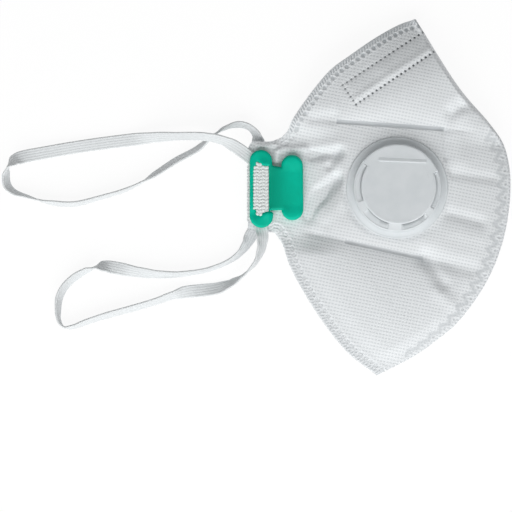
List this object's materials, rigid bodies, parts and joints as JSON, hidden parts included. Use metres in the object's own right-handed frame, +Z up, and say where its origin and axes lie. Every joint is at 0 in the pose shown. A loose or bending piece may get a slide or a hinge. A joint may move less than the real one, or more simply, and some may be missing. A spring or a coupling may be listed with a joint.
{
  "type": "valved respirator",
  "caption": "Fold-flat particulate respirator lying on its side, with a round exhalation valve, plastic strap clips and elastic headbands.",
  "frame": {"origin": "on the floor, under the middle of the folded body's box (the loose headbands are not counted)", "axes": "+Z up out of the floor, towards the valve side; +Y from the chin point to the nose point; +X from the open face edge to the curved front seam"},
  "size_m": [0.2243, 0.157, 0.0173],
  "materials": {
    "shell_fabric": "matt white embossed nonwoven",
    "valve_plastic": "satin translucent white plastic",
    "clip_plastic": "satin green plastic",
    "elastic": "white knitted elastic with lengthwise ribs"
  },
  "bodies": {
    "root": {"front_panel": "shell_fabric", "back_panel": "shell_fabric", "valve_seat": "valve_plastic", "valve_cap": "valve_plastic", "front_clip": "clip_plastic", "back_clip": "clip_plastic", "upper_headband": "elastic", "lower_headband": "elastic"}
  },
  "joints": []
}
